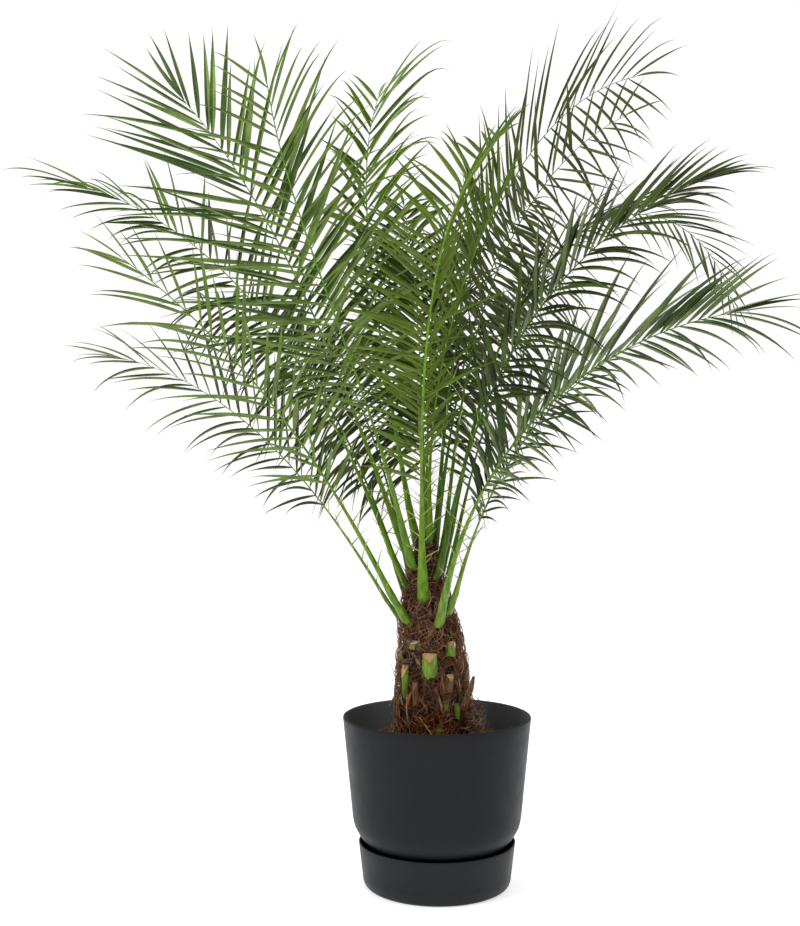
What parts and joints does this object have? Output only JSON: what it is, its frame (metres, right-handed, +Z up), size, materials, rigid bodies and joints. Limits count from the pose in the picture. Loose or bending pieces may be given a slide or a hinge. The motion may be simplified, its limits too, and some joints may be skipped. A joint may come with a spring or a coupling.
{
  "type": "potted pygmy date palm",
  "caption": "Feathery dwarf palm with a short fibrous trunk and arching fronds, growing in a tapered round planter that stands in a deep saucer.",
  "frame": {"origin": "centre of the saucer's flat underside", "axes": "+Z up along the pot's axis, +X to the right and +Y away, as seen from the front"},
  "size_m": [1.3758, 1.4183, 1.5098],
  "materials": {
    "charcoal_plastic": "moulded plastic, dark grey, satin",
    "potting_soil": "moist potting compost, reddish brown, loose",
    "trunk_fibre": "matted brown leaf-sheath fibre over the trunk",
    "cut_leaf_base": "cut stubs of old leaf stalks, green to brown",
    "frond_green": "thin palm leaflets on yellow-green ribs, faint sheen"
  },
  "bodies": {
    "root": {"saucer": "charcoal_plastic", "pot": "charcoal_plastic", "soil": "potting_soil", "trunk": "trunk_fibre", "leaf_base_01": "cut_leaf_base", "leaf_base_02": "cut_leaf_base", "leaf_base_03": "cut_leaf_base", "leaf_base_04": "cut_leaf_base", "leaf_base_05": "cut_leaf_base", "leaf_base_06": "cut_leaf_base", "leaf_base_07": "cut_leaf_base", "leaf_base_08": "cut_leaf_base", "leaf_base_09": "cut_leaf_base", "leaf_base_10": "cut_leaf_base", "leaf_base_11": "cut_leaf_base", "leaf_base_12": "cut_leaf_base", "leaf_base_13": "cut_leaf_base", "leaf_base_14": "cut_leaf_base", "leaf_base_15": "cut_leaf_base", "leaf_base_16": "cut_leaf_base", "leaf_base_17": "cut_leaf_base", "leaf_base_18": "cut_leaf_base", "leaf_base_19": "cut_leaf_base", "spear": "frond_green", "frond_01": "frond_green", "frond_02": "frond_green", "frond_03": "frond_green", "frond_04": "frond_green", "frond_05": "frond_green", "frond_06": "frond_green", "frond_07": "frond_green", "frond_08": "frond_green", "frond_09": "frond_green", "frond_10": "frond_green", "frond_11": "frond_green", "frond_12": "frond_green", "frond_13": "frond_green", "frond_14": "frond_green", "frond_15": "frond_green", "frond_16": "frond_green", "frond_17": "frond_green", "frond_18": "frond_green", "frond_19": "frond_green", "frond_20": "frond_green"}
  },
  "joints": []
}
